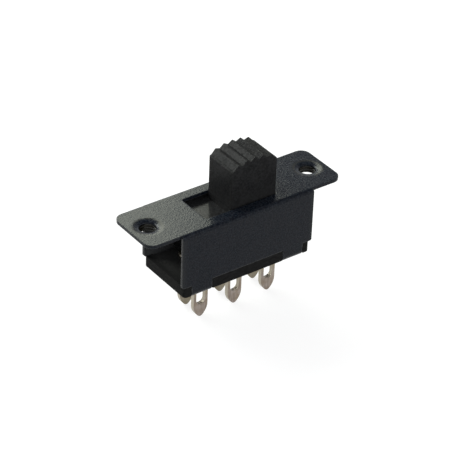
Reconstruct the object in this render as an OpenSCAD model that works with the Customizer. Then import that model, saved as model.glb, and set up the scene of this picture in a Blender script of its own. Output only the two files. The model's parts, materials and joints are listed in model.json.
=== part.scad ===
// Panel-mount slide switch with solder lugs, two positions, two poles.
// The origin is the centre of the bracket's top face, midway between its two screw holes.
// X runs along the slot, Z points out of the panel, and the knob stands at the +X end of its slot.

/* [Bracket] */
// Thickness of the bracket's sheet
sheet_t = 0.5; // [0.4:0.05:0.7]
// Distance between the two screw holes
hole_spacing = 28.6; // [27.6:0.1:32]
// Distance from a screw hole's centre to the end of its ear
ear_end = 2.9; // [2.6:0.1:4]
// Width of the two ears
ear_w = 9.5; // [8.6:0.1:10.3]
// Radius of the ears' corners
ear_corner_r = 1.5; // [0.5:0.1:2.5]
// Length of the folded channel
body_l = 23.3; // [22.9:0.1:24]
// Width over the two skirts
body_w = 10.4; // [10.3:0.1:12]
// Depth from the top face to the skirts' lower edges
skirt_d = 9; // [8.6:0.1:11]
// Inside radius of the two long bends
bend_r = 0.1; // [0.1:0.05:0.6]
// Radius of the skirts' lower corners
skirt_corner_r = 0.3; // [0.2:0.1:1]
// Radius of the slot's corners
slot_corner_r = 0.4; // [0.2:0.05:0.6]

/* [Screw holes] */
// Bore of a screw hole, at its thread's crests
hole_d = 2.5; // [2.2:0.1:3]
// Width of the sunk lip round a screw hole
lip_w = 0.9; // [0.4:0.1:1.2]
// Depth of the sunk lip
lip_d = 0.35; // [0.2:0.05:0.4]
// Wall of the drawn collar under a screw hole
collar_wall = 0.35; // [0.25:0.05:0.5]
// Depth from the top face to the end of the drawn collar
collar_d = 1.5; // [1.2:0.1:2.2]

/* [Crimp tabs] */
// Width of a crimp tab
tab_w = 3.6; // [2.5:0.1:4.5]
// Distance of a crimp tab's centre from the middle of the channel
tab_x = 8.2; // [8:0.1:8.6]
// Inside radius of a crimp tab's fold
fold_r = 0.5; // [0.15:0.05:0.6]
// Length of the flat foot that a crimp tab lays under the board
foot_l = 0.9; // [0.5:0.1:1.4]
// Gap between a crimp tab and each end of its notch
tab_gap = 0.12; // [0.05:0.01:0.3]

/* [Terminal board] */
// Thickness of the board
board_t = 1.75; // [1.2:0.01:2.4]
// Distance of the board's ends inside the channel's ends
board_end_inset = 0.35; // [0:0.05:0.6]
// Distance of the board's long edges inside the skirts' outer faces
board_side_inset = 0; // [0:0.05:0.3]
// Radius of the board's corners
board_corner_r = 0.6; // [0.2:0.1:1]

/* [Knob] */
// Length of the knob along the slot
knob_l = 8; // [7:0.1:9]
// Width of the knob
knob_w = 5.7; // [4.5:0.1:5.8]
// Height of the knob's crown above the bracket, between its ridges
knob_h = 7.05; // [4:0.05:9]
// Fall of the crown from its middle to its ends
crown_fall = 0.95; // [0.3:0.05:1.2]
// Radius of the knob's upright edges
knob_edge_r = 0.1; // [0.1:0.05:0.6]
// Number of finger ridges
ridge_n = 5; // [3:1:6]
// Distance from one ridge to the next
ridge_pitch = 1.45; // [1:0.05:1.55]
// Height of a ridge above the crown
ridge_h = 0.45; // [0.2:0.05:0.8]
// Radius of a ridge's rounded crest
ridge_r = 0.16; // [0.1:0.02:0.2]

/* [Carriage] */
// Travel of the knob from one end to the other
travel = 4.5; // [3.8:0.1:4.8]
// Gap between the knob and the slot's end at each end of the travel
end_gap = 0.1; // [0.05:0.01:0.2]
// Gap between the knob and each side of the slot
side_gap = 0.225; // [0.1:0.025:0.4]
// Length of the carriage under the slot
carriage_l = 18; // [17.8:0.1:18.4]
// Running clearance between the carriage and the bracket
run_gap = 0.06; // [0.02:0.01:0.1]
// Height of the two guide rails on the carriage's top
rail_h = 0.6; // [0.3:0.05:1]
// Width of a guide rail
rail_w = 0.7; // [0.4:0.05:0.8]
// Height of the carriage's underside above the contact heads
head_clear = 0.2; // [0.1:0.02:0.3]
// Chamfer round the carriage's upright ends
carriage_chamfer = 0.4; // [0.1:0.05:0.8]

/* [Terminals] */
// Distance from one terminal to the next along the board
lug_pitch = 6.15; // [5.9:0.05:6.4]
// Distance between the two rows of terminals
row_spacing = 3.54; // [3.3:0.02:4]
// Width of a solder lug
lug_w = 2.5; // [2.2:0.1:3]
// Thickness of a solder lug
lug_t = 0.7; // [0.5:0.05:0.8]
// Length of a solder lug below the board
lug_l = 6.95; // [5:0.01:9]
// Length of a lug's pointed arch
arch_l = 2.2; // [1.8:0.1:2.6]
// Radius of a lug's rounded tip
lug_tip_r = 0.5; // [0.3:0.05:0.6]
// Width of the eye in a lug
eye_w = 1.6; // [1:0.1:1.7]
// Length of the eye in a lug
eye_l = 3; // [2:0.1:3.2]
// Distance from a lug's tip to its eye
eye_tip = 2.15; // [1.6:0.05:2.6]
// Width of the tang that passes through the board
tang_w = 1.5; // [1:0.1:1.8]
// Clearance round a tang in the board
tang_gap = 0.03; // [0.01:0.01:0.1]
// Diameter of a terminal's contact head
head_d = 2.4; // [2:0.1:2.6]
// Height of a contact head above the board
head_h = 0.5; // [0.3:0.05:0.7]

/* [Moving contacts] */
// Length of a moving contact
contact_l = 10; // [9.4:0.1:10.6]
// Width of a moving contact
contact_w = 2.2; // [1.8:0.1:2.4]
// Thickness of a moving contact
contact_t = 0.3; // [0.2:0.02:0.4]
// Length of the run-up at each end of a moving contact
run_up_l = 1; // [0.6:0.1:1.4]
// Rise of the run-up at each end of a moving contact
run_up_h = 0.7; // [0.3:0.05:1]
// Gap between a moving contact and the contact heads
contact_gap = 0.02; // [0.01:0.01:0.05]
// Clearance round a moving contact in its pocket
pocket_gap = 0.1; // [0.05:0.01:0.15]

/* [Contact springs] */
// Outside diameter of a contact spring
spring_d = 1.9; // [1.5:0.05:2]
// Diameter of the spring wire
wire_d = 0.26; // [0.2:0.02:0.34]
// Turns of a contact spring
spring_turns = 5; // [3:1:7]
// Clearance round a contact spring in its bore
spring_gap = 0.15; // [0.08:0.01:0.25]
// Height of the stamped boss that centres a contact spring
boss_h = 0.3; // [0.2:0.05:0.5]
// Thickness of the carriage left above the spring bores
bore_roof = 1.4; // [0.8:0.1:2]

/* [Hidden] */
$fn = 48;

// Overshoot of a cut past the face that it opens
cut = 0.1;

// Bracket
ear_x = hole_spacing / 2 + ear_end;
skirt_in = body_w / 2 - sheet_t;
shoulder_r = bend_r + sheet_t;
web_half = body_w / 2 - shoulder_r;
slot_l = knob_l + travel + 2 * end_gap;
slot_w = knob_w + 2 * side_gap;

// Terminal board, whose notches let the crimp tabs' folds pass
board_l = body_l - 2 * board_end_inset;
board_w = body_w - 2 * board_side_inset;
board_top = -skirt_d;
board_under = board_top - board_t;
fold_y = skirt_in - fold_r;

// Levels inside the channel, from the contact heads up to the carriage's rails
head_top = board_top + head_h;
contact_under = head_top + contact_gap;
contact_top = contact_under + contact_t;
carriage_under = head_top + head_clear;
pocket_top = contact_top + run_up_h + pocket_gap;
rail_top = -sheet_t - run_gap;
carriage_top = rail_top - rail_h;
bore_top = carriage_top - bore_roof;

// Carriage
carriage_w = 2 * (skirt_in - run_gap);
rail_y = skirt_in - bend_r - run_gap - rail_w / 2;
pocket_l = contact_l + 2 * pocket_gap;
pocket_w = contact_w + 2 * pocket_gap;

// Place of the sliding pieces, at the +X end of their travel
slide_x = travel / 2;

// The crown is an arc over the knob's length
crown_r = (pow(knob_l / 2, 2) + pow(crown_fall, 2)) / (2 * crown_fall);
function crown_z(x) = knob_h - crown_r + sqrt(pow(crown_r, 2) - pow(x, 2));

// Angle on a ridge's rounded crest where the flank from a foot point touches it
function flank_angle(foot) = atan2(foot[1], foot[0]) + acos(ridge_r / norm(foot));

// A lug's two arcs meet in a pointed arch, and its tip circle touches both from inside
arch_r = (pow(arch_l, 2) + pow(lug_w / 2, 2)) / lug_w;
arc_x = arch_r - lug_w / 2;
tip_drop = sqrt(pow(arch_r - lug_tip_r, 2) - pow(arc_x, 2));
tip_touch = arch_r * tip_drop / (arch_r - lug_tip_r);
side_l = lug_l - tip_drop - lug_tip_r;

// Gap between a boss and the coil round it
boss_gap = 0.08;
boss_r = spring_d / 2 - wire_d - boss_gap;
// Gap between a spring and each of its two seats
seat_gap = 0.02;
// Gap between the closed end turns, as a share of the wire
spring_close = 0.08;

// Colours
steel = [0.2, 0.2, 0.21];
plastic = [0.09, 0.09, 0.09];
laminate = [0.13, 0.11, 0.09];
tinned = [0.72, 0.69, 0.63];
bronze = [0.8, 0.72, 0.52];

// A rectangle with rounded corners, centred
module rounded_square(l, w, r) {
    for (sx = [-1, 1]) {
        for (sy = [-1, 1]) {
            translate([sx * (l / 2 - r), sy * (w / 2 - r)]) circle(r);
        }
    }
    square([l, w - 2 * r], center = true);
    square([l - 2 * r, w], center = true);
}

// A rectangle with cut corners, centred
module chamfered_square(l, w, c) {
    polygon([
        [-l / 2, -w / 2 + c], [-l / 2 + c, -w / 2], [l / 2 - c, -w / 2], [l / 2, -w / 2 + c],
        [l / 2, w / 2 - c], [l / 2 - c, w / 2], [-l / 2 + c, w / 2], [-l / 2, w / 2 - c]
    ]);
}

// An upright slot with round ends, whose lowest point is at the origin
module upright_slot(w, h) {
    translate([0, w / 2]) circle(w / 2);
    translate([0, h - w / 2]) circle(w / 2);
    translate([-w / 2, w / 2]) square([w, h - w]);
}

// Draws a flat outline out along X, with its x along Y and its y along Z
module along_x(length) {
    rotate([90, 0, 90]) linear_extrude(length, center = true) children();
}

// Draws a flat outline out along Y, with its x along X and its y along Z
module along_y(length) {
    rotate([90, 0, 0]) linear_extrude(length, center = true) children();
}

// Section of a channel that opens downwards, with its top at z and rounded shoulders
module channel_section(half_w, z, r) {
    for (side = [0, 1]) {
        mirror([side, 0]) {
            translate([half_w - r, z - r]) circle(r);
            translate([0, z - r]) square([half_w - r, r]);
            translate([0, -skirt_d]) square([half_w, skirt_d + z - r]);
        }
    }
}

module channel() {
    intersection() {
        along_x(body_l) difference() {
            channel_section(body_w / 2, 0, shoulder_r);
            channel_section(skirt_in, -sheet_t, bend_r);
        }
        along_y(2 * body_w) {
            translate([0, -skirt_d / 2]) rounded_square(body_l, skirt_d, skirt_corner_r);
            translate([0, -skirt_d / 4]) square([body_l, skirt_d / 2], center = true);
        }
    }
}

// The ear at the +X end. Its root runs in under the channel's flat web.
module ear() {
    corner_x = ear_x - ear_corner_r;
    corner_y = ear_w / 2 - ear_corner_r;
    translate([0, 0, -sheet_t]) linear_extrude(sheet_t) {
        translate([body_l / 2, -ear_w / 2]) square([corner_x - body_l / 2, ear_w]);
        translate([slot_l / 2 + cut, -web_half])
            square([corner_x - slot_l / 2 - cut, 2 * web_half]);
        translate([corner_x, -corner_y]) square([ear_corner_r, 2 * corner_y]);
        for (side = [-1, 1]) {
            translate([corner_x, side * corner_y]) circle(ear_corner_r);
        }
    }
}

// Space inside a screw hole: a straight bore whose mouth flares over the sunk lip
module screw_bore() {
    mouth_r = hole_d / 2 + lip_w;
    rotate_extrude() {
        translate([0, -collar_d - cut]) square([hole_d / 2, collar_d + 2 * cut]);
        difference() {
            translate([0, -lip_d]) square([mouth_r, lip_d + cut]);
            translate([mouth_r, -lip_d]) scale([lip_w / lip_d, 1]) circle(lip_d);
        }
    }
}

// A crimp tab on the +Y side: a leg past the board's edge, a quarter fold and a flat foot
module crimp_tab() {
    translate([0, 0, board_under]) along_x(tab_w) {
        translate([skirt_in, fold_r]) square([sheet_t, board_t - fold_r + sheet_t]);
        translate([fold_y, fold_r]) intersection() {
            difference() {
                circle(fold_r + sheet_t);
                circle(fold_r);
            }
            translate([0, -fold_r - sheet_t]) square(fold_r + sheet_t);
        }
        translate([fold_y - foot_l, -sheet_t]) square([foot_l, sheet_t]);
    }
}

// The bracket looks the same from both ends, so each half is its twin turned round
module bracket() {
    color(steel) difference() {
        union() {
            channel();
            for (turn = [0, 180]) {
                rotate([0, 0, turn]) {
                    ear();
                    translate([hole_spacing / 2, 0, -collar_d])
                        cylinder(r = hole_d / 2 + collar_wall, h = collar_d - sheet_t / 2);
                    translate([tab_x, 0, 0]) crimp_tab();
                    translate([-tab_x, 0, 0]) crimp_tab();
                }
            }
        }
        for (end = [-1, 1]) {
            translate([end * hole_spacing / 2, 0, 0]) screw_bore();
        }
        translate([0, 0, -sheet_t - cut]) linear_extrude(sheet_t + 2 * cut)
            rounded_square(slot_l, slot_w, slot_corner_r);
    }
}

// Places its children at the six terminals: column -1, 0 or 1 along X, and row -1 near or 1 far
module at_terminal(column, row) {
    translate([column * lug_pitch, row * row_spacing / 2, 0]) children();
}

module terminal_board() {
    notch_l = tab_w + 2 * tab_gap;
    color(laminate) translate([0, 0, board_under]) linear_extrude(board_t) difference() {
        rounded_square(board_l, board_w, board_corner_r);
        for (end = [-1, 1]) {
            translate([end * tab_x - notch_l / 2, fold_y]) square([notch_l, board_w]);
            translate([end * tab_x - notch_l / 2, -fold_y - board_w]) square([notch_l, board_w]);
        }
        for (column = [-1, 0, 1]) {
            for (row = [-1, 1]) {
                at_terminal(column, row)
                    square([tang_w + 2 * tang_gap, lug_t + 2 * tang_gap], center = true);
            }
        }
    }
}

// Outline of a solder lug that hangs from the origin: straight sides, then a pointed arch
module lug_outline() {
    difference() {
        union() {
            translate([-lug_w / 2, -side_l]) square([lug_w, side_l]);
            intersection() {
                translate([arc_x, -side_l]) circle(arch_r, $fn = 96);
                translate([-arc_x, -side_l]) circle(arch_r, $fn = 96);
                translate([-lug_w / 2, -side_l - tip_touch]) square([lug_w, tip_touch]);
            }
            translate([0, -side_l - tip_drop]) circle(lug_tip_r);
        }
        translate([0, eye_tip - lug_l]) upright_slot(eye_w, eye_l);
    }
}

// Contact head of a terminal, a flat button with a rounded rim
module contact_head() {
    rim_r = head_h / 2;
    rotate_extrude() {
        square([head_d / 2, head_h - rim_r]);
        square([head_d / 2 - rim_r, head_h]);
        translate([head_d / 2 - rim_r, head_h - rim_r]) circle(rim_r);
    }
}

module terminal(column, row) {
    color(tinned) at_terminal(column, row) {
        translate([0, 0, board_under]) along_y(lug_t) {
            lug_outline();
            translate([-tang_w / 2, 0]) square([tang_w, board_t + head_h / 2]);
        }
        translate([0, 0, board_top]) contact_head();
    }
}

// One finger ridge across the knob, standing on the crown at x
module finger_ridge(x) {
    left = [x - ridge_pitch / 2, crown_z(x - ridge_pitch / 2)];
    right = [x + ridge_pitch / 2, crown_z(x + ridge_pitch / 2)];
    centre = [x, crown_z(x) + ridge_h - ridge_r];
    left_angle = 180 - flank_angle([centre[0] - left[0], left[1] - centre[1]]);
    right_angle = flank_angle(right - centre);
    along_y(knob_w) {
        polygon([
            left, centre + ridge_r * [cos(left_angle), sin(left_angle)],
            centre + ridge_r * [cos(right_angle), sin(right_angle)], right,
            [right[0], right[1] - ridge_h], [left[0], left[1] - ridge_h]
        ]);
        translate(centre) circle(ridge_r);
    }
}

module knob() {
    intersection() {
        translate([0, 0, carriage_top - cut]) linear_extrude(knob_h - carriage_top + 2 * cut)
            rounded_square(knob_l, knob_w, knob_edge_r);
        translate([0, 0, knob_h - crown_r]) along_y(2 * knob_w) circle(crown_r, $fn = 192);
    }
    for (i = [0 : ridge_n - 1]) {
        finger_ridge((i - (ridge_n - 1) / 2) * ridge_pitch);
    }
}

// Pocket in the carriage's underside for one moving contact, with the bore for its spring
module contact_pocket() {
    translate([-pocket_l / 2, -pocket_w / 2, carriage_under - cut])
        cube([pocket_l, pocket_w, pocket_top - carriage_under + cut]);
    translate([0, 0, pocket_top - cut])
        cylinder(d = spring_d + 2 * spring_gap, h = bore_top - pocket_top + cut);
}

// The knob and its carriage are one moulding
module slider() {
    color(plastic) translate([slide_x, 0, 0]) difference() {
        union() {
            translate([0, 0, carriage_under]) linear_extrude(carriage_top - carriage_under)
                chamfered_square(carriage_l, carriage_w, carriage_chamfer);
            for (side = [-1, 1]) {
                translate([-carriage_l / 2, side * rail_y - rail_w / 2, carriage_top - cut])
                    cube([carriage_l, rail_w, rail_h + cut]);
            }
            knob();
        }
        for (row = [-1, 1]) {
            translate([0, row * row_spacing / 2, 0]) contact_pocket();
        }
    }
}

// A moving contact: a flat strip that bridges two heads, with a run-up at each end
module moving_contact(row) {
    end_x = contact_l / 2;
    flat_x = end_x - run_up_l;
    color(bronze) translate([slide_x, row * row_spacing / 2, contact_under]) {
        along_y(contact_w) polygon([
            [-end_x, run_up_h], [-flat_x, 0], [flat_x, 0], [end_x, run_up_h],
            [end_x, run_up_h + contact_t], [flat_x, contact_t],
            [-flat_x, contact_t], [-end_x, run_up_h + contact_t]
        ]);
        cylinder(r = boss_r, h = contact_t + boss_h);
    }
}

// A round wire swept along a coil, whose end turns lie closed
module coil_spring(height) {
    sides = 8;
    steps = 16;
    turns = spring_turns + 2;
    rings = turns * steps;
    coil_r = (spring_d - wire_d) / 2;
    close_h = wire_d * (1 + spring_close);
    open_h = (height - wire_d - 2 * close_h) / spring_turns;
    function rise(t) = wire_d / 2 + close_h * (min(t, 1) + max(t - turns + 1, 0))
        + open_h * min(max(t - 1, 0), spring_turns);
    points = [
        for (i = [0 : rings]) for (s = [0 : sides - 1])
            let (
                turn = 360 * i / steps,
                round_wire = 360 * s / sides,
                r = coil_r + wire_d / 2 * cos(round_wire)
            )
            [r * cos(turn), r * sin(turn), rise(i / steps) + wire_d / 2 * sin(round_wire)]
    ];
    skin = [
        for (i = [0 : rings - 1]) for (s = [0 : sides - 1])
            let (next = (s + 1) % sides)
            [i * sides + s, (i + 1) * sides + s, (i + 1) * sides + next, i * sides + next]
    ];
    first = [for (s = [0 : sides - 1]) s];
    last = [for (s = [sides - 1 : -1 : 0]) rings * sides + s];
    polyhedron(points, concat(skin, [first, last]), convexity = 10);
}

module contact_spring(row) {
    color(bronze) translate([slide_x, row * row_spacing / 2, contact_top + seat_gap])
        coil_spring(bore_top - contact_top - 2 * seat_gap);
}

bracket();
slider();
terminal_board();
terminal(-1, -1);  // terminal_left_near
terminal(0, -1);  // terminal_middle_near
terminal(1, -1);  // terminal_right_near
terminal(-1, 1);  // terminal_left_far
terminal(0, 1);  // terminal_middle_far
terminal(1, 1);  // terminal_right_far
moving_contact(-1);  // moving_contact_near
moving_contact(1);  // moving_contact_far
contact_spring(-1);  // contact_spring_near
contact_spring(1);  // contact_spring_far
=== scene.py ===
"""A panel-mount slide switch, dressed for rendering: camera, materials, floor, room and lights."""
import bpy
import json
import math
from mathutils import Matrix, Vector


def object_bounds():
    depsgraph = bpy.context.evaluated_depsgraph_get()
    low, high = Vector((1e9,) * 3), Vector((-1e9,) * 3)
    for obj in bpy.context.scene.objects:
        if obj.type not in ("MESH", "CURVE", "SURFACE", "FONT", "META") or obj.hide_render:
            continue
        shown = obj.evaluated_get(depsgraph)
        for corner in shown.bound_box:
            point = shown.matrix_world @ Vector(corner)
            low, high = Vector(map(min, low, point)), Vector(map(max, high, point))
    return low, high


MM = 0.001
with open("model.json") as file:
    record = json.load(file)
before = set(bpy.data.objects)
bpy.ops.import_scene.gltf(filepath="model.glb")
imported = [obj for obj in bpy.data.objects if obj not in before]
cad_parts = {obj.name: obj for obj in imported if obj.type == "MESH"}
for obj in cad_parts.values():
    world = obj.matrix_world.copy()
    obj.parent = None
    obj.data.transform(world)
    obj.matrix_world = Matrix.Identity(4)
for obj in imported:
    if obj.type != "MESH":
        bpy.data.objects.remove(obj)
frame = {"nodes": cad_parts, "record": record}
cad_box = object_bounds()
nodes = frame["nodes"]

# ---------------------------------------------------------------- camera
# The camera stands in front, to the left and above, turned a little about its own axis.
CAMERA_AZIMUTH = math.radians(-36.74)
CAMERA_ELEVATION = math.radians(33.76)
CAMERA_ROLL = math.radians(2.05)
CAMERA_DISTANCE = 319.6 * MM
CAMERA_ASIDE = -0.483 * MM
CAMERA_UP = -4.281 * MM
CAMERA_LENS = 174.94
CAMERA_SENSOR = 36.0
CAMERA_CLIP = (0.01, 10)


def make_camera():
    """Places the camera by its azimuth, elevation and roll, with a small shift across its view."""
    az, el, roll = CAMERA_AZIMUTH, CAMERA_ELEVATION, CAMERA_ROLL
    back = Vector((math.sin(az) * math.cos(el), -math.cos(az) * math.cos(el), math.sin(el)))
    right = Vector((math.cos(az), math.sin(az), 0))
    up = back.cross(right)
    rolled_right = right * math.cos(roll) + up * math.sin(roll)
    rolled_up = up * math.cos(roll) - right * math.sin(roll)
    data = bpy.data.cameras.new("camera")
    data.lens = CAMERA_LENS
    data.sensor_width = CAMERA_SENSOR
    data.clip_start, data.clip_end = CAMERA_CLIP
    camera = bpy.data.objects.new("camera", data)
    place = rolled_right * CAMERA_ASIDE + rolled_up * CAMERA_UP + back * CAMERA_DISTANCE
    turn = Matrix((rolled_right, rolled_up, back)).transposed()
    camera.matrix_world = Matrix.Translation(place) @ turn.to_4x4()
    bpy.context.scene.collection.objects.link(camera)
    bpy.context.scene.camera = camera


make_camera()


# ---------------------------------------------------------------- node helpers
class Shader:
    """The node tree of a material or a world, with short calls for the nodes that are used here."""

    def __init__(self, owner, output="ShaderNodeOutputMaterial"):
        self.owner = owner
        self.owner.use_nodes = True
        self.tree = self.owner.node_tree
        self.tree.nodes.clear()
        self.output = self.add(output)

    def add(self, kind, **values):
        """A new node, with its settings."""
        node = self.tree.nodes.new(kind)
        for key, value in values.items():
            setattr(node, key, value)
        return node

    def fill(self, socket, value):
        """Gives a socket a number or a colour, or links another socket to it."""
        if isinstance(value, tuple):
            socket.default_value = (*value, 1)
        elif isinstance(value, (int, float)):
            socket.default_value = value
        else:
            self.tree.links.new(value, socket)

    def place(self, stretch=(1, 1, 1), kind="Object"):
        """Coordinates in metres, stretched by a factor along each axis."""
        coordinates = self.add("ShaderNodeTexCoord")
        mapping = self.add("ShaderNodeMapping")
        mapping.inputs["Scale"].default_value = stretch
        self.fill(mapping.inputs["Vector"], coordinates.outputs[kind])
        return mapping.outputs["Vector"]

    def noise(self, size, detail, roughness=0.55, stretch=(1, 1, 1), distortion=0.0):
        """Noise whose features are about size metres wide."""
        noise = self.add("ShaderNodeTexNoise")
        noise.inputs["Scale"].default_value = 1 / size
        noise.inputs["Detail"].default_value = detail
        noise.inputs["Roughness"].default_value = roughness
        noise.inputs["Distortion"].default_value = distortion
        self.fill(noise.inputs["Vector"], self.place(stretch))
        return noise.outputs["Fac"]

    def along(self, axis, kind="Object"):
        """The distance from the origin along an axis, in metres, or a normal's share of it."""
        split = self.add("ShaderNodeSeparateXYZ")
        self.fill(split.inputs["Vector"], self.place(kind=kind))
        return split.outputs[axis]

    def aside(self, axis, kind="Object"):
        """The same as along, but counted alike to both sides."""
        return self.math("ABSOLUTE", self.along(axis, kind))

    def from_holes(self):
        """The distance from the nearer of the two screw holes' axes, in metres."""
        x = self.math("SUBTRACT", self.aside("X"), HOLE_X)
        y = self.along("Y")
        return self.math("SQRT", self.plus(self.times(x, x), self.times(y, y)))

    def inside(self, half_x, half_y, top):
        """1 within a box round the origin's Z axis and below a height, 0 outside it."""
        across = self.range(self.aside("Y"), half_y, half_y + STEP, 1, 0)
        lengthwise = self.range(self.aside("X"), half_x, half_x + STEP, 1, 0)
        below = self.range(self.along("Z"), top - STEP, top, 1, 0)
        return self.times(self.times(across, lengthwise), below)

    def math(self, operation, first, second=0):
        """The result of an operation on one or two numbers or sockets."""
        node = self.add("ShaderNodeMath", operation=operation)
        self.fill(node.inputs[0], first)
        self.fill(node.inputs[1], second)
        return node.outputs["Value"]

    def plus(self, first, second):
        return self.math("ADD", first, second)

    def times(self, first, second):
        return self.math("MULTIPLY", first, second)

    def range(self, value, low, high, to_low, to_high):
        """Maps value from low..high to to_low..to_high, clamped."""
        node = self.add("ShaderNodeMapRange", clamp=True)
        ends = {"From Min": low, "From Max": high, "To Min": to_low, "To Max": to_high}
        for name, number in ends.items():
            node.inputs[name].default_value = number
        self.fill(node.inputs["Value"], value)
        return node.outputs["Result"]

    def mix(self, factor, first, second):
        """A colour between first and second, each a colour or a socket."""
        node = self.add("ShaderNodeMix", data_type="RGBA")
        self.fill(node.inputs[0], factor)
        self.fill(node.inputs[6], first)
        self.fill(node.inputs[7], second)
        return node.outputs[2]

    def fade(self, value, band, first, second, share=1):
        """Goes from the first colour to a share of the second as value crosses a band."""
        return self.mix(self.range(value, *band, 0, share), first, second)

    def choose(self, switch, off, on):
        """A number: off where the switch is 0, on where it is 1."""
        node = self.add("ShaderNodeMix")
        self.fill(node.inputs[0], switch)
        self.fill(node.inputs[2], off)
        self.fill(node.inputs[3], on)
        return node.outputs[0]

    def bevel(self, radius, samples):
        """The surface normal with every edge rounded to a radius."""
        node = self.add("ShaderNodeBevel", samples=samples)
        node.inputs["Radius"].default_value = radius
        return node.outputs["Normal"]

    def edges(self, radius):
        """1 near a sharp convex or concave edge, 0 on flat faces."""
        dot = self.add("ShaderNodeVectorMath", operation="DOT_PRODUCT")
        self.fill(dot.inputs[0], self.bevel(radius, samples=6))
        self.fill(dot.inputs[1], self.add("ShaderNodeNewGeometry").outputs["Normal"])
        return self.range(dot.outputs["Value"], *EDGE_TURN, 0, 1)

    def bump(self, height, distance, normal=None):
        """The normal of a relief, in which a height of 1 stands for a distance in metres."""
        node = self.add("ShaderNodeBump")
        node.inputs["Strength"].default_value = 1.0
        node.inputs["Distance"].default_value = distance
        self.fill(node.inputs["Height"], height)
        if normal is not None:
            self.fill(node.inputs["Normal"], normal)
        return node.outputs["Normal"]

    def principled(self, colour, roughness, normal, **values):
        """Ends the tree with a Principled node and returns the material."""
        node = self.add("ShaderNodeBsdfPrincipled")
        inputs = {"Base Color": colour, "Roughness": roughness, "Normal": normal}
        inputs.update((name.replace("_", " "), value) for name, value in values.items())
        for name, value in inputs.items():
            self.fill(node.inputs[name], value)
        self.fill(self.output.inputs["Surface"], node.outputs["BSDF"])
        return self.owner


def new_shader(name):
    """The node tree of a new material."""
    return Shader(bpy.data.materials.new(name))


# ---------------------------------------------------------------- materials
# Places on the switch that the materials refer to, in metres in the CAD frame. A pair is a band
# that a mask fades across. Bands called "aside" count alike to both sides of the origin.
STEP = 0.01 * MM                             # a mask's edge where it has to be sharp
HOLE_X = 14.3 * MM                           # the screw holes' axes, to both sides
BORE_WALL = (1.27 * MM, 1.29 * MM)           # just outside the bore's radius
BORE_TOP = (-0.40 * MM, -0.38 * MM)          # under the rolled lip
THREAD_PITCH = 0.5 * MM
LIP_DIP = (1.8 * MM, 2.4 * MM)               # where the plate bends down into the lip
CREST_RISE = (1.75 * MM, 2.05 * MM)          # the ring round the lip, painted paler as wear and as highlight, from the hole outwards
CREST_FALL = (2.15 * MM, 2.5 * MM)
CHANNEL_INSIDE = (11.7 * MM, 4.75 * MM, -0.45 * MM)  # half length, half width and top of the inside faces painted paler as painted light
CHANNEL_MOUTH = (10.8 * MM, 11.6 * MM)       # aside along X, where real light reaches in and the painted light inside fades
UNDER_PLATE = (-0.9 * MM, -0.5 * MM)
SKIRT_FOOT = (-9.3 * MM, -8.8 * MM)
BOARD_TOP = (-9.02 * MM, -9.01 * MM)
BOARD_BAY = (7.0 * MM, 8.4 * MM)             # aside along X, past the carriage's end
BOARD_NEAR_HALF = (-1.5 * MM, 2.5 * MM)      # along Y
BOARD_ENDS = (9.8 * MM, 10.9 * MM)           # aside along X, towards which the board's top gets painted shade
LUG_ROOT = (-14.5 * MM, -11.5 * MM)          # from the lug's eye up to the board, where a painted highlight lies
FAR_ROW = (-0.5 * MM, 0.5 * MM)              # between the two rows of lugs, along Y; the far row gets painted shade
CARRIAGE_TOP = (-0.4 * MM, -0.1 * MM)        # between the carriage and the knob
KNOB_FOOT_START = (-0.1 * MM, 0.1 * MM)
KNOB_FOOT = (0.2 * MM, 2.4 * MM)
KNOB_TOP = (2.5 * MM, 5.5 * MM)

# Bands of a noise's value, from a soft change to a crisp one.
SOFT = (0.3, 0.7)
PLAIN = (0.35, 0.65)
CLEAR = (0.40, 0.60)
CRISP = (0.42, 0.58)

# The cosine between a face's own normal and the rounded one, from a flat place to a full edge.
EDGE_TURN = (0.995, 0.85)


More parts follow.
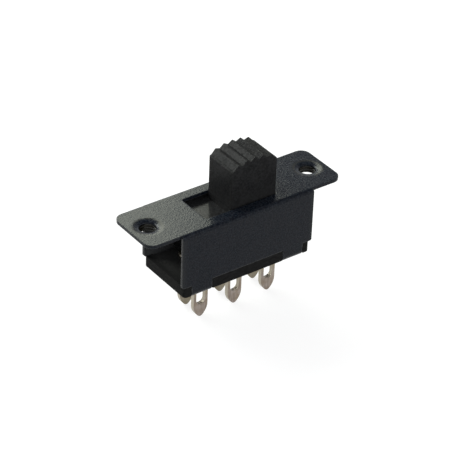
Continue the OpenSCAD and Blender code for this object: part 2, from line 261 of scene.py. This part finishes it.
def black_steel():
    """Satin black oxide on rolled steel. Its cut edges are painted paler, partly as wear and partly
    as painted highlight, and the channel's inside faces are painted paler as painted light.

    A ring round each screw hole is painted paler, partly as wear and partly as painted highlight,
    and the turns of the thread show inside it."""
    s = new_shader("black_steel")
    z = s.along("Z")
    mottle = s.noise(2.2 * MM, detail=5)
    tint = s.noise(0.7 * MM, detail=4, roughness=0.7)
    orange_peel = s.noise(0.42 * MM, detail=2)
    grain = s.noise(0.26 * MM, detail=2, roughness=0.6)
    streaks = s.noise(0.5 * MM, detail=3, stretch=(0.08, 1, 1))
    wear_and_highlight = s.range(s.noise(0.9 * MM, detail=5, roughness=0.7), *CLEAR, 0.15, 1)

    colour = s.fade(mottle, SOFT, (0.0004, 0.0022, 0.0066), (0.0028, 0.0055, 0.0100))
    colour = s.fade(tint, CRISP, colour, (0.0105, 0.0105, 0.0145), share=0.7)
    colour = s.fade(grain, CRISP, colour, (0.022, 0.0265, 0.034), share=0.6)
    # Painted light: the channel's inside faces are painted paler, and less so below the plate near
    # the channel's ends.
    colour = s.mix(s.inside(*CHANNEL_INSIDE), colour, (0.10, 0.102, 0.105))
    mouth = s.times(s.range(s.aside("X"), *CHANNEL_MOUTH, 0, 0.5), s.range(z, *UNDER_PLATE, 1, 0))
    colour = s.mix(mouth, colour, (0.028, 0.030, 0.031))
    # Cut edges painted paler, partly wear and partly painted highlight, most of all on the crimped
    # tabs below the skirt's foot.
    edge_wear_and_highlight = s.fade(z, SKIRT_FOOT, (0.2, 0.2, 0.2), (0.065, 0.065, 0.067))
    colour = s.mix(s.times(s.edges(0.13 * MM), wear_and_highlight), colour, edge_wear_and_highlight)

    roughness = s.plus(s.range(mottle, *SOFT, 0.17, 0.22), s.range(grain, *PLAIN, -0.08, 0.08))
    relief = s.plus(s.times(streaks, 0.4), s.times(grain, 1.2))
    relief = s.plus(relief, s.times(orange_peel, 1.1))
    normal = s.bump(relief, 0.013 * MM, normal=s.bevel(0.2 * MM, samples=8))

    out = s.from_holes()
    # A ring round each hole painted paler, partly wear and partly painted highlight.
    lip_ring_wear_and_highlight = s.times(s.range(out, *CREST_RISE, 0, 1), s.range(out, *CREST_FALL, 1, 0))
    colour = s.mix(s.times(lip_ring_wear_and_highlight, wear_and_highlight), colour, (0.026, 0.0255, 0.023))
    normal = s.bump(s.range(out, *LIP_DIP, 0, 1), 0.03 * MM, normal=normal)
    bore = s.times(s.range(out, *BORE_WALL, 1, 0), s.range(z, *BORE_TOP, 1, 0))
    turns = s.math("SINE", s.times(z, 2 * math.pi / THREAD_PITCH))
    colour = s.mix(bore, colour, (0.014, 0.013, 0.009))
    normal = s.bump(s.times(turns, bore), 0.10 * MM, normal=normal)
    return s.principled(colour, roughness, normal, Specular_IOR_Level=0.12)


def black_plastic():
    """Moulded black plastic with a fine matt grain, smoother where fingers and the plate rub it."""
    s = new_shader("black_plastic")
    z = s.along("Z")
    grain = s.noise(0.12 * MM, detail=4)
    cloud = s.noise(1.6 * MM, detail=3)
    speck = s.noise(0.3 * MM, detail=2)

    colour = s.fade(cloud, SOFT, (0.0095, 0.0098, 0.0105), (0.0175, 0.0170, 0.0170))
    colour = s.fade(speck, CRISP, colour, (0.030, 0.0305, 0.032), share=0.5)
    # Painted highlight: the edges painted paler.
    colour = s.mix(s.edges(0.08 * MM), colour, (0.045, 0.045, 0.045))
    # The knob's foot, which little light reaches, is a little paler.
    foot = s.times(s.range(z, *KNOB_FOOT_START, 0, 1), s.range(z, *KNOB_FOOT, 0.3, 0))
    colour = s.mix(foot, colour, (0.034, 0.034, 0.034))

    rubbed = s.range(z, *CARRIAGE_TOP, 1, 0)
    handled = s.range(z, *KNOB_TOP, 0, 0.065)
    roughness = s.plus(s.range(rubbed, 0, 1, 0.42, 0.2), s.range(grain, *SOFT, -0.02, 0.06))
    polish = s.times(s.plus(s.times(rubbed, 0.21), handled), s.range(speck, *CLEAR, 0.8, 1.25))
    return s.principled(colour, roughness, s.bump(grain, 0.008 * MM),
                        Specular_IOR_Level=0.015, Coat_Roughness=0.2, Coat_Weight=polish)


def phenolic():
    """Near-black paper laminate, with faint layers at its edges. Its top in the channel is painted
    paler where shade falls and darker where most light reaches.
    """
    s = new_shader("phenolic")
    aside = s.aside("X")
    layers = s.noise(0.12 * MM, detail=4, stretch=(0.08, 0.08, 1))
    fibre = s.noise(0.35 * MM, detail=5, stretch=(0.5, 1, 1))

    colour = s.fade(fibre, PLAIN, (0.0125, 0.0126, 0.0124), (0.0210, 0.0208, 0.0204))
    colour = s.fade(layers, (0.45, 0.7), colour, (0.031, 0.0305, 0.030), share=0.6)
    # The part of the bay that most light reaches is darker, so that the top looks even.
    lit = s.times(s.range(aside, *BOARD_BAY, 0, 1), s.range(s.along("Y"), *BOARD_NEAR_HALF, 1, 0))
    top = s.mix(lit, (0.056, 0.056, 0.055), (0.037, 0.037, 0.036))
    # Painted shade: the top is darker still towards the board's ends, near the channel's mouths.
    top = s.fade(aside, BOARD_ENDS, top, (0.021, 0.021, 0.021))
    colour = s.fade(s.along("Z"), BOARD_TOP, colour, top)

    roughness = s.range(fibre, *SOFT, 0.42, 0.58)
    normal = s.bump(s.plus(layers, fibre), 0.02 * MM)
    return s.principled(colour, roughness, normal, Specular_IOR_Level=0.01)


def tinned_brass():
    """Dull tin plate on brass, with warm thin places and fine streaks. Cut sides are paler, partly
    as smoother metal and partly as painted highlight; the lugs carry a painted highlight towards
    the board, and the far row painted shade.
    """
    s = new_shader("tinned_brass")
    cloud = s.noise(1.1 * MM, detail=5, distortion=0.4)
    grain = s.noise(0.09 * MM, detail=3)
    streaks = s.noise(0.25 * MM, detail=3, stretch=(1, 1, 0.12))

    colour = s.fade(cloud, (0.40, 0.62), (0.35, 0.30, 0.265), (0.27, 0.215, 0.165))
    colour = s.fade(streaks, (0.45, 0.62), colour, (0.20, 0.165, 0.14), share=0.6)
    # Painted highlight: paler and yellower from the lug's eye up to the board.
    colour = s.fade(s.along("Z"), LUG_ROOT, colour, (0.40, 0.365, 0.235))
    # Painted shade: the far row is darker and yellower.
    colour = s.fade(s.along("Y"), FAR_ROW, colour, (0.23, 0.21, 0.14), share=0.6)
    colour = s.mix(s.edges(0.1 * MM), colour, (0.24, 0.20, 0.165))
    # Sides whose normals point along X, the cut sides, are paler: partly smoother metal, partly
    # painted highlight.
    cut_sides_and_highlight = s.aside("X", kind="Normal")
    colour = s.fade(cut_sides_and_highlight, (0.3, 0.8), colour, (0.42, 0.38, 0.31))

    roughness = s.plus(s.range(cloud, *SOFT, 0.30, 0.42), s.range(grain, *SOFT, -0.03, 0.05))
    relief = s.plus(s.times(cloud, 1.5), s.plus(streaks, s.times(grain, 0.4)))
    return s.principled(colour, roughness, s.bump(relief, 0.016 * MM), Metallic=0.9)


def contact_bronze():
    """Rolled bronze strip, bright, with rolling lines along it."""
    s = new_shader("contact_bronze")
    streaks = s.noise(0.12 * MM, detail=3, stretch=(0.06, 1, 1))
    colour = s.fade(streaks, PLAIN, (0.66, 0.50, 0.30), (0.74, 0.60, 0.38))
    roughness = s.range(streaks, *SOFT, 0.2, 0.32)
    return s.principled(colour, roughness, s.bump(streaks, 0.006 * MM), Metallic=1.0)


def spring_steel():
    """Drawn spring wire with fine draw marks."""
    s = new_shader("spring_steel")
    marks = s.noise(0.06 * MM, detail=3)
    colour = s.fade(marks, PLAIN, (0.46, 0.46, 0.45), (0.58, 0.58, 0.57))
    roughness = s.range(marks, *SOFT, 0.22, 0.34)
    return s.principled(colour, roughness, s.bump(marks, 0.004 * MM), Metallic=1.0)


MATERIALS = {
    "black_steel": black_steel(),
    "black_plastic": black_plastic(),
    "phenolic": phenolic(),
    "tinned_brass": tinned_brass(),
    "contact_bronze": contact_bronze(),
    "spring_steel": spring_steel(),
}
for part in frame["record"]["subparts"]:
    mesh_data = nodes[part["node"]].data
    mesh_data.materials.clear()
    mesh_data.materials.append(MATERIALS[part["material_slot"]])


# ---------------------------------------------------------------- floor, room and lights
FLOOR_Z = cad_box[0].z
FLOOR_HALF = 3.0
FLOOR_COLOUR = (0.26, 0.26, 0.26)
# How bright the floor glows to the camera, and to rays that come off or through the switch.
FLOOR_GLOW_SEEN = 0.82
FLOOR_GLOW_REFLECTED = 0.77

ROOM_COLOUR = (0.96, 0.98, 1)
ROOM_LIGHT = 0.45
CEILING_HEIGHTS = (0.25, 0.75)
CEILING_SHARE = 0.25

# Name, bearings from +Y towards +X and heights in degrees, distance, radiance and colour.
SOFTBOXES = (
    ("back_softbox", (5, 35.2), (22, 45), 400 * MM, 6.6, (0.975, 1.02, 0.865)),
    ("left_softbox", (-45, 5), (20, 45), 400 * MM, 9.0, (0.97, 1.01, 0.95)),
    ("front_softbox", (150, 215), (20, 50), 450 * MM, 2.0, (0.97, 0.985, 1)),
)


def make_floor():
    """A wide pale floor that shows white and keeps the switch's soft shadow."""
    mesh = bpy.data.meshes.new("floor")
    h = FLOOR_HALF
    corners = [(x, y, FLOOR_Z) for x, y in ((-h, -h), (h, -h), (h, h), (-h, h))]
    mesh.from_pydata(corners, [], [(0, 1, 2, 3)])
    floor = bpy.data.objects.new("floor", mesh)
    bpy.context.scene.collection.objects.link(floor)
    s = new_shader("floor")
    diffuse = s.add("ShaderNodeBsdfDiffuse")
    s.fill(diffuse.inputs["Color"], FLOOR_COLOUR)
    glow = s.add("ShaderNodeEmission")
    s.fill(glow.inputs["Color"], (1, 1, 1))
    ray = s.add("ShaderNodeLightPath").outputs
    reflected = s.math("MAXIMUM", ray["Is Glossy Ray"], ray["Is Transmission Ray"])
    strength = s.plus(s.times(ray["Is Camera Ray"], FLOOR_GLOW_SEEN),
                      s.times(reflected, FLOOR_GLOW_REFLECTED))
    s.fill(glow.inputs["Strength"], strength)
    both = s.add("ShaderNodeAddShader")
    s.fill(both.inputs[0], diffuse.outputs[0])
    s.fill(both.inputs[1], glow.outputs[0])
    s.fill(s.output.inputs["Surface"], both.outputs[0])
    mesh.materials.append(s.owner)


def make_world():
    """A pale room, white to the camera. Reflections see white walls and a dimmer ceiling."""
    s = Shader(bpy.data.worlds.new("world"), "ShaderNodeOutputWorld")
    ray = s.add("ShaderNodeLightPath").outputs
    reflected = s.range(s.along("Z", kind="Generated"), *CEILING_HEIGHTS, 1.0, CEILING_SHARE)
    strength = s.choose(ray["Is Glossy Ray"], ROOM_LIGHT, reflected)
    strength = s.choose(ray["Is Transmission Ray"], strength, reflected)
    strength = s.choose(ray["Is Camera Ray"], strength, 1.0)
    background = s.add("ShaderNodeBackground")
    s.fill(background.inputs["Color"], ROOM_COLOUR)
    s.fill(background.inputs["Strength"], strength)
    s.fill(s.output.inputs["Surface"], background.outputs[0])
    bpy.context.scene.world = s.owner


def make_light(name, bearings, heights, distance, radiance, colour):
    """A flat softbox that faces the switch and fills a range of bearings and heights."""
    bearing = math.radians(sum(bearings) / 2)
    height = math.radians(sum(heights) / 2)
    flat = math.cos(height)
    aim = Vector((math.sin(bearing) * flat, math.cos(bearing) * flat, math.sin(height)))
    data = bpy.data.lights.new(name, "AREA")
    data.shape = "RECTANGLE"
    data.size = 2 * distance * flat * math.tan(math.radians(bearings[1] - bearings[0]) / 2)
    data.size_y = 2 * distance * math.tan(math.radians(heights[1] - heights[0]) / 2)
    data.energy = radiance * math.pi * data.size * data.size_y
    data.color = colour
    light = bpy.data.objects.new(name, data)
    light.location = aim * distance
    light.rotation_mode = "QUATERNION"
    light.rotation_quaternion = aim.to_track_quat("Z", "Y")
    bpy.context.scene.collection.objects.link(light)


make_floor()
make_world()
for softbox in SOFTBOXES:
    make_light(*softbox)

bpy.context.scene.view_settings.view_transform = "Standard"
